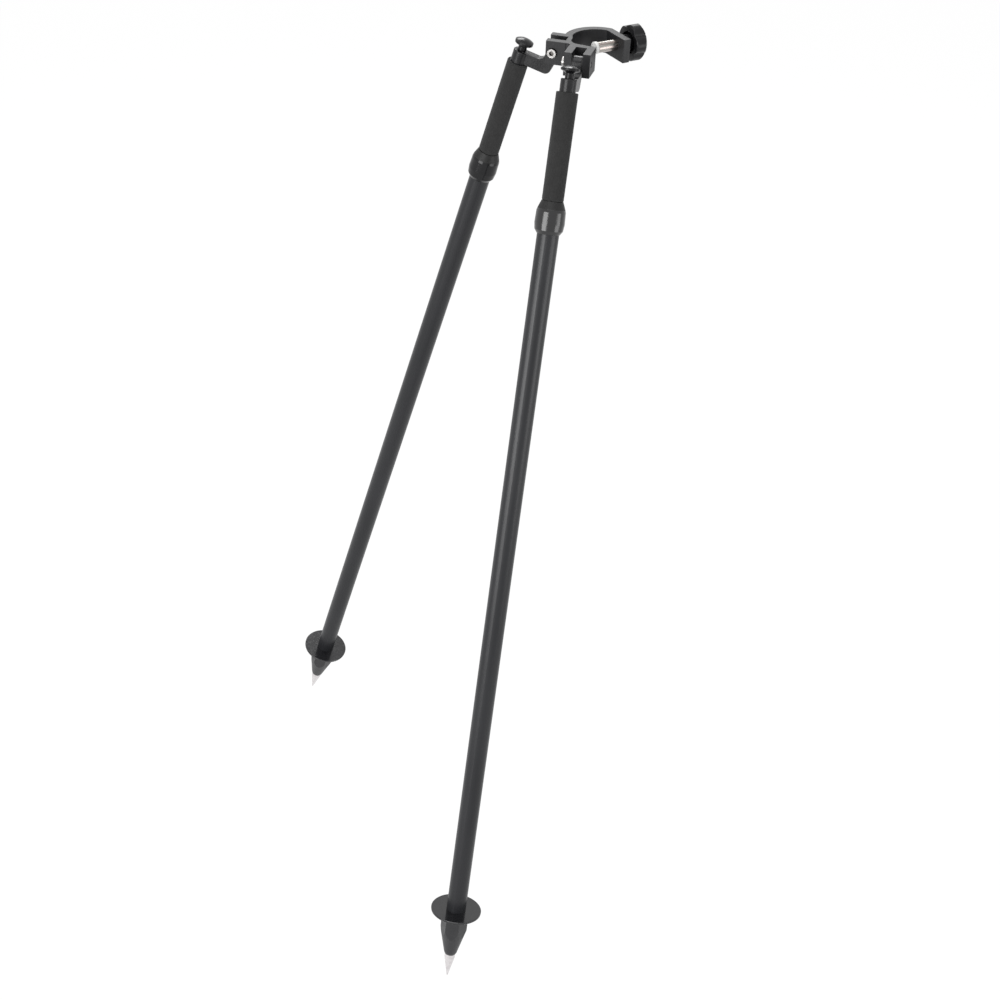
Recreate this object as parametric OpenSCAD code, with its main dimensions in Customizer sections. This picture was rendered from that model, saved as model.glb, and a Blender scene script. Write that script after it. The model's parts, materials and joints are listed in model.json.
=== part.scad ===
// Prism pole bipod: a side-loading pole clamp with two hinged, telescoping, thumb-release legs.
// The origin lies on the axis of the clamped pole, at the height of the leg hinges. +Z runs up the pole,
// +Y along the clamp screw towards its knob, and the legs spread towards -Y, left (-X) and right (+X).
// The legs are closed: each lower leg is pushed up against its grip.

/* [Pole clamp] */
// Diameter of the round seat that takes the pole
seat_d = 25.5; // [24:0.1:27]
// Half the angle that the seat's arc covers
seat_half_angle = 58; // [56:1:62]
// Slope of the V flanks that take thicker poles
flank_angle = 31; // [26:1:36]
// Radius of the open throat
throat_r = 29.5; // [28:0.5:32]
// Distance from the pole axis to the throat's centre
throat_y = 20.5; // [19:0.5:22]
// Wall of the clamp's curved back
back_wall = 8.5; // [6:0.5:11]
// Height of the clamp extrusion
clamp_h = 26; // [22:1:32]
// Distance from the pole axis to the jaw's inner face
jaw_y = 43.5; // [41:0.5:45]
// Thickness of the jaw that carries the screw
jaw_t = 8.5; // [7:0.5:10]
// Length of the jaw past the screw's axis
jaw_reach = 17.5; // [14:0.5:22]

/* [Clamp screw] */
// Height of the screw's axis above the middle of the clamp
screw_rise = 2.5; // [0:0.1:4]
// Diameter of the clamp screw
screw_d = 12; // [10:0.5:13]
// Diameter of the nylon pad on the screw's end
pad_d = 13.5; // [12.5:0.5:16]
// Length of the nylon pad
pad_len = 5.8; // [5:0.1:9]
// Diameter over the knob's lobes
knob_d = 41; // [36:1:46]
// Thickness of the knob's lobed part
knob_t = 14.5; // [12:0.5:18]
// Distance from the jaw to the knob's lobed part
knob_standoff = 8; // [7:0.5:12]
// Number of lobes on the knob
knob_lobes = 5; // [4:1:7]
// Turn of the first lobe above the +X direction
knob_phase = 4; // [0:1:71]

/* [Leg hinges] */
// Distance in X from the pole axis to the line where the two leg planes meet
leg_plane_x = 2.5; // [0:0.1:4]
// Distance in Y from the pole axis to the line where the two leg planes meet
leg_plane_y = 3.3; // [1:0.1:5]
// Angle of each leg plane from the clamp's centre plane
clevis_angle = 45; // [43:1:47]
// Distance from the leg planes' meeting line to the hinge
pivot_reach = 35; // [33:0.5:37]
// Length of the ears past the hinge
ear_end = 7.5; // [6.5:0.5:9]
// Thickness of each ear
ear_t = 8.5; // [7:0.5:9]
// Depth of the slot inboard of the hinge
slot_inset = 13.1; // [11.5:0.1:14]
// Diameter of the pivot bolt
bolt_d = 6; // [5:0.5:7]
// Thickness of the knuckle arm
arm_t = 10; // [8:0.5:11]
// Thickness of the friction washers beside the arm
washer_t = 1; // [0.8:0.1:1.5]

/* [Leg angles] */
// Angle of the left leg from the pole
left_leg_angle = 15.9; // [0:0.1:60]
// Angle of the right leg from the pole
right_leg_angle = 20.3; // [0:0.1:60]

/* [Upper leg] */
// Distance from the hinge to the leg's axis
arm_offset = 35.4; // [34:0.1:40]
// Diameter of the socket at the top of the leg
socket_d = 18; // [17.5:0.5:20]
// Distance along the leg from the hinge to the socket's top
socket_top = 17; // [16:0.5:19]
// Length of the socket above the grip
socket_len = 14; // [13:0.5:18]
// Outside diameter of the inner tube
inner_tube_d = 19; // [18.5:0.1:19.5]
// Room left between the release rod and the foot when the leg is closed and the button is down
rod_room = 8; // [4:1:200]
// Wall of both tubes
tube_wall = 1.5; // [1.2:0.1:1.7]
// Outside diameter of the foam grip
grip_d = 24.5; // [23:0.5:28]
// Length of the foam grip
grip_len = 115.5; // [100:0.5:130]

/* [Thumb release] */
// Diameter of the thumb button
button_d = 21; // [18:0.5:24]
// Diameter of the button's stem
stem_d = 10; // [8:0.5:10.5]
// Distance that the button travels
button_travel = 5; // [4:0.5:6]
// Diameter of the push rod
rod_d = 6; // [5:0.5:6.5]
// Wire of the return spring
wire_d = 1.2; // [1:0.1:1.4]
// Curls of the return spring
spring_curls = 7; // [5:1:8]

/* [Lower leg] */
// Outside diameter of the outer tube
outer_tube_d = 25; // [24.5:0.1:25.5]
// Length of the outer tube
outer_tube_len = 898.5; // [880:0.5:1000]
// Largest diameter of the guide collar
collar_d = 34; // [31:0.5:38]
// Length of the guide collar
collar_len = 27.5; // [22:0.5:32]
// Length of the sloped cap on the collar
cap_len = 8.5; // [8:0.5:14]
// Diameter of the foot plate
plate_d = 65; // [50:1:80]
// Thickness of the foot plate
plate_t = 3; // [2:0.5:5]
// Width across the flats of the foot
foot_hex = 30; // [28:1:36]
// Length of the foot below its plate
foot_len = 64.5; // [60:0.5:80]
// Diameter of the foot's lower end
foot_end_d = 17; // [16:0.5:20]
// Length of the steel point
point_len = 34.5; // [24:0.5:40]
// Diameter of the steel point at the foot
point_d = 14; // [11:0.5:14]

/* [Hidden] */
LEFT = -1;
RIGHT = 1;
$fn = 72;

// Clearances: between fixed pieces, between running pieces, and between faces that pass each other
fit_gap = 0.05;
run_gap = 0.1;
face_gap = 0.1;
free_gap = 0.3;
// Extra length of every cut past the faces that it opens
overrun = 1;

// Clamp extrusion
seat_r = seat_d / 2;
back_r = throat_r + back_wall;
jaw_outer_y = jaw_y + jaw_t;
lip = [seat_r * sin(seat_half_angle), -seat_r * cos(seat_half_angle)];
flank_run = 2 * throat_r;
flank_rise = flank_run * tan(flank_angle);
corner_fillet_r = 4;
corner_relief = 0.3;

// Clevises and their bolts
slot_w = arm_t + 2 * washer_t + 4 * face_gap;
clevis_half_w = slot_w / 2 + ear_t;
bolt_hole_r = bolt_d / 2 + fit_gap;
bolt_head_d_share = 5 / 3;
bolt_head_r = bolt_d / 2 * bolt_head_d_share;
bolt_head_t = bolt_d;
bolt_socket_af_share = 5 / 6;
bolt_sink = bolt_head_t / 2;
bolt_tail_inset = 0.5;
arm_lobe_wall = 5;
lobe_r = bolt_d / 2 + arm_lobe_wall;
clevis_corner_y = leg_plane_y - clevis_half_w / sin(clevis_angle);
corner_fillet_y = clevis_corner_y - corner_fillet_r / sin(clevis_angle);

// Screw, pad and knob, as distances along the screw from the pole axis
pad_tip_y = seat_r + fit_gap;
pad_dome_share = 1 / 5;
pad_dome_h = pad_d * pad_dome_share;
pad_end_y = pad_tip_y + pad_len;
pad_stud_r = 2.5;
pad_stud_len = 8;
screw_start_y = pad_end_y + face_gap;
screw_chamfer = 0.8;
knob_rear_y = jaw_outer_y + knob_standoff;
knob_front_y = knob_rear_y + knob_t;
knob_hub_r = 9;
knob_hub_len = 3;
knob_edge_r = 3;
knob_lobe_share = 0.51;
knob_lobe_r = knob_d / 2 * knob_lobe_share;
knob_lobe_ring_r = knob_d / 2 - knob_lobe_r;
knob_core_wall = 2.5;
knob_core_depth_share = 0.45;
cap_r = 7;
cap_t = 6;
cap_proud = 3;
cap_taper = 1.5;
screw_end_y = knob_front_y - cap_t;

// Knuckle: lobe, bar and socket
arm_corner_r = 7;
arm_corner_x = 3.5;
arm_fillet_r = 7;
bar_drop = 1;
bar_top = socket_top - bar_drop / 2;
bar_bottom = socket_top + socket_len - bar_drop;
socket_edge = 0.8;

// Places along the leg, downwards from the hinge
grip_top = socket_top + socket_len;
grip_bottom = grip_top + grip_len;
spigot_len = 31;
spigot_bottom = grip_top + spigot_len;
chamber_roof = 3;
chamber_top = grip_top + chamber_roof;
collar_gap = 0.4;
cap_top = grip_bottom + collar_gap;
cap_bottom = cap_top + cap_len;
outer_tube_top = cap_bottom;
collar_bottom = cap_bottom + collar_len;
plate_top = outer_tube_top + outer_tube_len;
foot_top = plate_top + plate_t;
foot_bottom = foot_top + foot_len;
foot_spigot_len = 30;
foot_spigot_top = plate_top - foot_spigot_len;

// Radii across the leg
inner_r = inner_tube_d / 2;
inner_bore_r = inner_r - tube_wall;
outer_r = outer_tube_d / 2;
outer_bore_r = outer_r - tube_wall;
spigot_r = inner_bore_r - fit_gap;
chamber_wall = 1.75;
chamber_r = spigot_r - chamber_wall;
grip_bore_r = inner_r + free_gap;
grip_edge_share = 0.45;
grip_edge_r = (grip_d / 2 - grip_bore_r) * grip_edge_share;

// Thumb button, push rod and return spring
rod_r = rod_d / 2;
stem_r = stem_d / 2;
stem_bore_r = stem_r + run_gap;
button_throat_gap = 0.7;
trumpet_bottom = socket_top - button_travel - button_throat_gap;
trumpet_len = 2.8;
rim_t = 2.4;
rim_bottom = trumpet_bottom - trumpet_len;
rim_top = rim_bottom - rim_t;
dome_h = 3;
dome_r = ((button_d / 2) ^ 2 + dome_h ^ 2) / (2 * dome_h);
stem_bottom = chamber_top - free_gap;
rod_grip_len = 10;
rod_collar_t = 3;
rod_collar_top = chamber_top + free_gap;
rod_collar_bottom = rod_collar_top + rod_collar_t;
rod_collar_r = chamber_r - free_gap;
plug_t = 4;
plug_top = spigot_bottom - plug_t;
spring_r = chamber_r - free_gap - wire_d / 2;
spring_top = rod_collar_bottom + free_gap;
spring_bottom = plug_top - free_gap;
rings_per_curl = 8;
wire_sides = 6;

// Brake at the inner tube's lower end
collet_spigot_len = 20;
collet_len = 25;
collet_roof = 7;
cone_rim = 5;
nut_t = 5;
rod_tail = 1;
rod_bottom = foot_spigot_top - rod_room - button_travel;
inner_tube_bottom = rod_bottom - rod_tail - nut_t - cone_rim - collet_len;
collet_bottom = inner_tube_bottom + collet_len;
collet_r = outer_bore_r - run_gap;
cone_top_r = 4.5;
cone_bottom_r = 9;
collet_mouth_top = inner_tube_bottom + collet_roof;
finger_slots = 4;
finger_slot_w = 2;
cone_top = collet_mouth_top + free_gap;
cone_bottom = collet_bottom + cone_rim;
rod_bore_r = rod_r + run_gap;
nut_af = 10;
nut_bottom = cone_bottom + nut_t;
finger_top = collet_mouth_top - finger_slot_w;

// Guide bush, collar and cap
bush_flange_t = 3;
bush_len = 20;
bush_bore_r = inner_r + run_gap;
bush_top = outer_tube_top - bush_flange_t;
cap_bore_r = inner_r + free_gap;
cap_top_r = grip_d / 2 - fit_gap;
collar_top_share = 0.92;
collar_shoulder_share = 0.97;
collar_lower_share = 0.945;
collar_foot_share = 0.78;
collar_top_r = collar_d / 2 * collar_top_share;
collar_shoulder_r = collar_d / 2 * collar_shoulder_share;
collar_lower_r = collar_d / 2 * collar_lower_share;
collar_foot_r = collar_d / 2 * collar_foot_share;
// Heights down the collar at which its outline turns: shoulder, belly and lower edge
collar_turn_shares = [0.1, 0.58, 0.85];

// Foot and point
foot_taper_share = 0.41;
foot_end_r = foot_end_d / 2;
foot_corner_r = foot_hex / sqrt(3);
foot_taper_top = foot_top + foot_len * foot_taper_share;
foot_end_round = 2.5;
foot_blank_r = foot_corner_r + overrun;
foot_slope = (foot_corner_r - foot_end_r) / (foot_bottom - foot_end_round - foot_taper_top);
foot_blank_bottom = foot_taper_top - overrun / foot_slope;
left_foot_turn = 6;
right_foot_turn = 36;
stud_r = 5;
stud_len = 25;
point_shank_share = 0.16;
point_tip_r = 0.8;
point_shank_bottom = foot_bottom + point_len * point_shank_share;
point_bottom = foot_bottom + point_len;
plate_edge = 0.6;

function leg_angle(side) = side == LEFT ? left_leg_angle : right_leg_angle;
function foot_turn(side) = side == LEFT ? left_foot_turn : right_foot_turn;

// Places its children at a clevis's hinge: X outwards, Y along the hinge axis
module at_hinge(side) {
    translate([leg_plane_x, leg_plane_y, 0])
        rotate([0, 0, -90 + side * clevis_angle])
            translate([pivot_reach, 0, 0])
                children();
}

// Turns its children's Z along the hinge axis, towards the pivot bolt's head
module along_bolt(side) {
    at_hinge(side) rotate([90 * side, 0, 0]) children();
}

// Places its children on a leg's axis, with Z up the leg and the origin level with the hinge
module on_leg(side) {
    at_hinge(side)
        rotate([0, -leg_angle(side), 0])
            translate([arm_offset, 0, 0])
                children();
}

// Turns its children's Z along the clamp screw's axis
module along_screw() {
    translate([0, 0, screw_rise]) rotate([-90, 0, 0]) children();
}

// A turned piece of a leg, from points of radius and depth below the hinge
module turned(profile) {
    rotate_extrude() polygon([for (p = profile) [p[0], -p[1]]]);
}

// A straight round cut in a leg between two depths
module leg_bore(r, top, bottom) {
    translate([0, 0, -bottom]) cylinder(r = r, h = bottom - top);
}

// Outline of the throat above the seat: two V flanks and the round back, shut off by the jaw
module throat_outline() {
    intersection() {
        translate([0, throat_y]) circle(r = throat_r);
        polygon([
            lip,
            lip + [flank_run, flank_rise],
            [lip[0] + flank_run, jaw_y],
            [-lip[0] - flank_run, jaw_y],
            [-lip[0] - flank_run, lip[1] + flank_rise],
            [-lip[0], lip[1]]
        ]);
    }
}

// The clamp's curved back, on the left side of the throat
module back_outline() {
    intersection() {
        translate([0, throat_y]) circle(r = back_r);
        translate([-2 * back_r, -back_wall]) square([2 * back_r, back_wall + jaw_outer_y]);
    }
}

// Web in the inside corner between the two clevises, down to where the corner's fillet starts
module corner_outline() {
    web_x = 2 * corner_fillet_r * cos(clevis_angle);
    web_y = corner_fillet_y + corner_fillet_r * sin(clevis_angle);
    polygon([
        [leg_plane_x, leg_plane_y],
        [leg_plane_x + web_x, web_y],
        [leg_plane_x - web_x, web_y]
    ]);
}

module clevis_outline(side) {
    translate([leg_plane_x, leg_plane_y])
        rotate(-90 + side * clevis_angle)
            translate([0, -clevis_half_w])
                square([pivot_reach + ear_end, 2 * clevis_half_w]);
}

module slot_outline(side) {
    translate([leg_plane_x, leg_plane_y])
        rotate(-90 + side * clevis_angle)
            translate([pivot_reach - slot_inset, -slot_w / 2])
                square([slot_inset + ear_end + overrun, slot_w]);
}

// A length of the clamp's extrusion, or a cut right through it
module extruded() {
    linear_extrude(height = clamp_h, center = true) children();
}

module cut_through() {
    linear_extrude(height = clamp_h + 2 * overrun, center = true) children();
}

module clamp_body() {
    color([0.17, 0.17, 0.18])
        difference() {
            union() {
                extruded() back_outline();
                extruded() translate([-jaw_t, jaw_y]) square([jaw_t + jaw_reach, jaw_t]);
                extruded() corner_outline();
                extruded() clevis_outline(LEFT);
                extruded() clevis_outline(RIGHT);
            }
            cut_through() circle(r = seat_r);
            cut_through() throat_outline();
            cut_through()
                translate([leg_plane_x, corner_fillet_y]) circle(r = corner_fillet_r + corner_relief);
            along_screw()
                translate([0, 0, jaw_y - overrun])
                    cylinder(r = screw_d / 2 + fit_gap, h = jaw_t + 2 * overrun);
            for (side = [LEFT, RIGHT]) {
                cut_through() slot_outline(side);
                along_bolt(side) {
                    cylinder(r = bolt_hole_r, h = 2 * (clevis_half_w + overrun), center = true);
                    translate([0, 0, clevis_half_w - bolt_sink])
                        cylinder(r = bolt_head_r + free_gap, h = bolt_sink + overrun);
                }
            }
        }
}

module clamp_screw() {
    color([0.78, 0.76, 0.74])
        along_screw()
            difference() {
                rotate_extrude()
                    polygon([
                        [0, screw_start_y],
                        [screw_d / 2 - screw_chamfer, screw_start_y],
                        [screw_d / 2, screw_start_y + screw_chamfer],
                        [screw_d / 2, screw_end_y],
                        [0, screw_end_y]
                    ]);
                translate([0, 0, screw_start_y - overrun])
                    cylinder(r = pad_stud_r + fit_gap, h = pad_stud_len + 2 * overrun);
            }
}

module screw_pad() {
    dome_r = ((pad_d / 2) ^ 2 + pad_dome_h ^ 2) / (2 * pad_dome_h);
    color([0.93, 0.93, 0.92])
        along_screw() {
            translate([0, 0, pad_end_y - overrun])
                cylinder(r = pad_stud_r, h = pad_stud_len + overrun);
            intersection() {
                translate([0, 0, pad_tip_y]) cylinder(d = pad_d, h = pad_len);
                union() {
                    translate([0, 0, pad_tip_y + dome_r]) sphere(r = dome_r);
                    translate([0, 0, pad_tip_y + pad_dome_h]) cylinder(d = pad_d, h = pad_len);
                }
            }
        }
}

// Plan of the knob: overlapping round lobes with creases between them
module knob_outline() {
    circle(r = knob_lobe_ring_r);
    for (i = [0 : knob_lobes - 1])
        rotate(-knob_phase - i * 360 / knob_lobes)
            translate([knob_lobe_ring_r, 0])
                circle(r = knob_lobe_r);
}

module clamp_knob() {
    core_out_r = knob_lobe_ring_r + knob_lobe_r / 2 - knob_core_wall;
    color([0.09, 0.09, 0.095])
        along_screw()
            difference() {
                union() {
                    intersection() {
                        translate([0, 0, knob_rear_y]) linear_extrude(height = knob_t) knob_outline();
                        rotate_extrude()
                            polygon([
                                [0, knob_rear_y],
                                [knob_d / 2 - knob_edge_r / 2, knob_rear_y],
                                [knob_d / 2, knob_rear_y + knob_edge_r / 2],
                                [knob_d / 2, knob_front_y - knob_edge_r],
                                [knob_d / 2 - knob_edge_r, knob_front_y],
                                [0, knob_front_y]
                            ]);
                    }
                    translate([0, 0, knob_rear_y - knob_hub_len])
                        cylinder(r = knob_hub_r, h = knob_hub_len + knob_core_wall);
                }
                translate([0, 0, knob_rear_y - knob_hub_len - overrun])
                    cylinder(r = screw_d / 2 + fit_gap, h = screw_end_y - knob_rear_y + knob_hub_len + overrun);
                translate([0, 0, knob_front_y - cap_t + cap_proud])
                    cylinder(r = cap_r + fit_gap, h = cap_t + overrun);
                translate([0, 0, knob_rear_y - overrun])
                    difference() {
                        cylinder(r = core_out_r, h = knob_t * knob_core_depth_share + overrun);
                        cylinder(r = knob_hub_r, h = knob_t + overrun);
                    }
            }
}

module knob_cap() {
    color([0.07, 0.07, 0.075])
        along_screw()
            translate([0, 0, knob_front_y - cap_t + cap_proud])
                rotate_extrude()
                    polygon([
                        [0, 0],
                        [cap_r, 0],
                        [cap_r, cap_t - cap_proud],
                        [cap_r - cap_taper, cap_t],
                        [0, cap_t]
                    ]);
}

module pivot_bolts() {
    color([0.76, 0.76, 0.77])
        for (side = [LEFT, RIGHT])
            along_bolt(side)
                difference() {
                    union() {
                        translate([0, 0, bolt_tail_inset - clevis_half_w])
                            cylinder(d = bolt_d, h = 2 * clevis_half_w - bolt_sink);
                        translate([0, 0, clevis_half_w - bolt_sink])
                            cylinder(r = bolt_head_r, h = bolt_head_t);
                    }
                    translate([0, 0, clevis_half_w])
                        cylinder(d = bolt_d * bolt_socket_af_share / cos(30), h = bolt_head_t, $fn = 6);
                }
}

module pivot_washers() {
    color([0.08, 0.08, 0.08])
        for (side = [LEFT, RIGHT], face = [-1, 1])
            along_bolt(side)
                translate([0, 0, face * (arm_t + washer_t + 2 * face_gap) / 2])
                    difference() {
                        cylinder(r = lobe_r, h = washer_t, center = true);
                        cylinder(r = bolt_hole_r, h = washer_t + 2 * overrun, center = true);
                    }
}

// Side outline of the knuckle's dog-leg arm, with the hinge at its origin
module arm_outline() {
    circle(r = lobe_r);
    translate([arm_corner_x, arm_corner_r - bar_bottom]) circle(r = arm_corner_r);
    polygon([
        [-lobe_r, 0],
        [lobe_r, 0],
        [lobe_r, -bar_top],
        [arm_offset, -bar_top],
        [arm_offset, -bar_bottom],
        [arm_corner_x, -bar_bottom],
        [arm_corner_x - arm_corner_r, arm_corner_r - bar_bottom]
    ]);
    translate([lobe_r, -bar_top])
        difference() {
            square(arm_fillet_r);
            translate([arm_fillet_r, arm_fillet_r]) circle(r = arm_fillet_r);
        }
}

module knuckle(side) {
    color([0.12, 0.12, 0.125])
        on_leg(side)
            difference() {
                union() {
                    turned([
                        [0, socket_top],
                        [socket_d / 2 - socket_edge, socket_top],
                        [socket_d / 2, socket_top + socket_edge],
                        [socket_d / 2, grip_top],
                        [spigot_r, grip_top],
                        [spigot_r, spigot_bottom],
                        [0, spigot_bottom]
                    ]);
                    translate([-arm_offset, 0, 0])
                        rotate([90, 0, 0])
                            linear_extrude(height = arm_t, center = true) arm_outline();
                }
                translate([-arm_offset, 0, 0])
                    rotate([90, 0, 0])
                        cylinder(r = bolt_hole_r, h = arm_t + 2 * overrun, center = true);
                leg_bore(stem_bore_r, socket_top - overrun, chamber_top + overrun);
                leg_bore(chamber_r, chamber_top, spigot_bottom + overrun);
            }
}

module thumb_button(side) {
    button_r = button_d / 2;
    color([0.06, 0.06, 0.065])
        on_leg(side)
            difference() {
                union() {
                    turned([
                        [0, rim_top],
                        [button_r, rim_top],
                        [button_r, rim_bottom],
                        [stem_r + trumpet_len / 2, trumpet_bottom - trumpet_len / 3],
                        [stem_r, trumpet_bottom],
                        [stem_r, stem_bottom],
                        [0, stem_bottom]
                    ]);
                    intersection() {
                        translate([0, 0, dome_h - dome_r - rim_top]) sphere(r = dome_r);
                        translate([0, 0, -rim_top]) cylinder(r = button_r, h = dome_h);
                    }
                }
                leg_bore(rod_r + fit_gap, stem_bottom - rod_grip_len, stem_bottom + overrun);
            }
}

module push_rod(side) {
    color([0.62, 0.62, 0.64])
        on_leg(side)
            turned([
                [0, stem_bottom - rod_grip_len + free_gap],
                [rod_r, stem_bottom - rod_grip_len + free_gap],
                [rod_r, rod_collar_top],
                [rod_collar_r, rod_collar_top],
                [rod_collar_r, rod_collar_bottom],
                [rod_r, rod_collar_bottom],
                [rod_r, rod_bottom],
                [0, rod_bottom]
            ]);
}

// Centre line of the return spring, a ring centre for each eighth of a curl
spring_steps = spring_curls * rings_per_curl;
spring_rise = (spring_bottom - spring_top - wire_d) / spring_steps;
spring_line = [
    for (i = [0 : spring_steps])
        let (a = i * 360 / rings_per_curl)
        [spring_r * cos(a), spring_r * sin(a), -spring_bottom + wire_d / 2 + i * spring_rise]
];
spring_gap = min([for (i = [0 : spring_steps - rings_per_curl])
    norm(spring_line[i + rings_per_curl] - spring_line[i])]) - wire_d;
echo(return_spring_least_gap = spring_gap);

module return_spring(side) {
    rings = [
        for (i = [0 : spring_steps], k = [0 : wire_sides - 1])
            let (a = i * 360 / rings_per_curl, b = k * 360 / wire_sides)
            spring_line[i] + wire_d / 2 * [cos(b) * cos(a), cos(b) * sin(a), sin(b)]
    ];
    walls = [
        for (i = [0 : spring_steps - 1], k = [0 : wire_sides - 1])
            let (p = i * wire_sides, next = (k + 1) % wire_sides)
            each [
                [p + k, p + next, p + wire_sides + next],
                [p + k, p + wire_sides + next, p + wire_sides + k]
            ]
    ];
    last = spring_steps * wire_sides;
    ends = [
        for (k = [1 : wire_sides - 2])
            each [[0, k + 1, k], [last, last + k, last + k + 1]]
    ];
    color([0.7, 0.7, 0.72])
        on_leg(side) polyhedron(points = rings, faces = concat(walls, ends));
}

module spring_plug(side) {
    color([0.72, 0.6, 0.35])
        on_leg(side)
            turned([
                [rod_bore_r, plug_top],
                [chamber_r - fit_gap, plug_top],
                [chamber_r - fit_gap, spigot_bottom],
                [rod_bore_r, spigot_bottom]
            ]);
}

module inner_tube(side) {
    color([0.09, 0.09, 0.095])
        on_leg(side)
            turned([
                [inner_bore_r, grip_top],
                [inner_r, grip_top],
                [inner_r, inner_tube_bottom],
                [inner_bore_r, inner_tube_bottom]
            ]);
}

module foam_grip(side) {
    grip_r = grip_d / 2;
    color([0.06, 0.06, 0.06])
        on_leg(side)
            rotate_extrude() {
                translate([grip_bore_r, grip_edge_r - grip_bottom])
                    square([grip_r - grip_bore_r, grip_len - 2 * grip_edge_r]);
                translate([grip_bore_r, -grip_bottom])
                    square([grip_r - grip_bore_r - grip_edge_r, grip_len]);
                for (z = [grip_edge_r - grip_bottom, -grip_top - grip_edge_r])
                    translate([grip_r - grip_edge_r, z]) circle(r = grip_edge_r);
            }
}

module brake_collet(side) {
    color([0.9, 0.89, 0.85])
        on_leg(side)
            difference() {
                turned([
                    [rod_bore_r, inner_tube_bottom - collet_spigot_len],
                    [spigot_r, inner_tube_bottom - collet_spigot_len],
                    [spigot_r, inner_tube_bottom],
                    [collet_r, inner_tube_bottom],
                    [collet_r, collet_bottom],
                    [cone_bottom_r, collet_bottom],
                    [cone_top_r, collet_mouth_top],
                    [rod_bore_r, collet_mouth_top]
                ]);
                for (i = [0 : finger_slots - 1])
                    rotate([0, 0, i * 360 / finger_slots])
                        translate([0, -finger_slot_w / 2, -collet_bottom - overrun])
                            cube([collet_r + overrun, finger_slot_w, collet_bottom - finger_top + overrun]);
            }
}

module brake_cone(side) {
    color([0.74, 0.62, 0.36])
        on_leg(side)
            turned([
                [rod_r + fit_gap, cone_top],
                [cone_top_r - free_gap, cone_top],
                [cone_bottom_r - free_gap, collet_bottom],
                [cone_bottom_r - free_gap, cone_bottom],
                [rod_r + fit_gap, cone_bottom]
            ]);
}

module brake_nut(side) {
    color([0.66, 0.66, 0.68])
        on_leg(side)
            difference() {
                translate([0, 0, -nut_bottom]) cylinder(d = nut_af / cos(30), h = nut_t, $fn = 6);
                leg_bore(rod_r + fit_gap, cone_bottom - overrun, nut_bottom + overrun);
            }
}

module guide_bush(side) {
    color([0.88, 0.88, 0.86])
        on_leg(side)
            turned([
                [bush_bore_r, bush_top],
                [outer_r, bush_top],
                [outer_r, outer_tube_top],
                [outer_bore_r - fit_gap, outer_tube_top],
                [outer_bore_r - fit_gap, outer_tube_top + bush_len],
                [bush_bore_r, outer_tube_top + bush_len]
            ]);
}

module collar_cap(side) {
    color([0.07, 0.07, 0.07])
        on_leg(side)
            turned([
                [cap_bore_r, cap_top],
                [cap_top_r, cap_top],
                [collar_top_r, cap_bottom],
                [outer_r + fit_gap, cap_bottom],
                [outer_r + fit_gap, bush_top],
                [cap_bore_r, bush_top]
            ]);
}

module guide_collar(side) {
    turns = [for (share = collar_turn_shares) cap_bottom + collar_len * share];
    color([0.13, 0.13, 0.135])
        on_leg(side)
            turned([
                [outer_r + fit_gap, cap_bottom],
                [collar_top_r, cap_bottom],
                [collar_shoulder_r, turns[0]],
                [collar_d / 2, turns[1]],
                [collar_lower_r, turns[2]],
                [collar_foot_r, collar_bottom],
                [outer_r + fit_gap, collar_bottom]
            ]);
}

module outer_tube(side) {
    color([0.1, 0.1, 0.105])
        on_leg(side)
            turned([
                [outer_bore_r, outer_tube_top],
                [outer_r, outer_tube_top],
                [outer_r, plate_top],
                [outer_bore_r, plate_top]
            ]);
}

module foot_plate(side) {
    plate_r = plate_d / 2;
    color([0.09, 0.09, 0.095])
        on_leg(side)
            turned([
                [outer_bore_r, plate_top],
                [plate_r - plate_edge, plate_top],
                [plate_r, plate_top + plate_edge],
                [plate_r, foot_top - plate_edge],
                [plate_r - plate_edge, foot_top],
                [outer_bore_r, foot_top]
            ]);
}

// Hexagon bar turned down to a blunt cone, like a sharpened pencil, on a spigot that holds the plate
module foot(side) {
    color([0.11, 0.11, 0.115])
        on_leg(side)
            difference() {
                union() {
                    leg_bore(outer_bore_r - fit_gap, foot_spigot_top, foot_top + overrun);
                    intersection() {
                        rotate([0, 0, foot_turn(side)])
                            translate([0, 0, -foot_bottom])
                                cylinder(r = foot_corner_r, h = foot_len, $fn = 6);
                        turned([
                            [0, foot_top],
                            [foot_blank_r, foot_top],
                            [foot_blank_r, foot_blank_bottom],
                            [foot_end_r, foot_bottom - foot_end_round],
                            [foot_end_r - foot_end_round / 2, foot_bottom],
                            [0, foot_bottom]
                        ]);
                    }
                }
                leg_bore(stud_r + fit_gap, foot_bottom - stud_len - free_gap, foot_bottom + overrun);
            }
}

module steel_point(side) {
    shank_r = point_d / 2;
    color([0.8, 0.79, 0.78])
        on_leg(side)
            turned([
                [0, foot_bottom - stud_len],
                [stud_r, foot_bottom - stud_len],
                [stud_r, foot_bottom],
                [shank_r, foot_bottom],
                [shank_r, point_shank_bottom],
                [point_tip_r, point_bottom],
                [0, point_bottom]
            ]);
}

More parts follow.
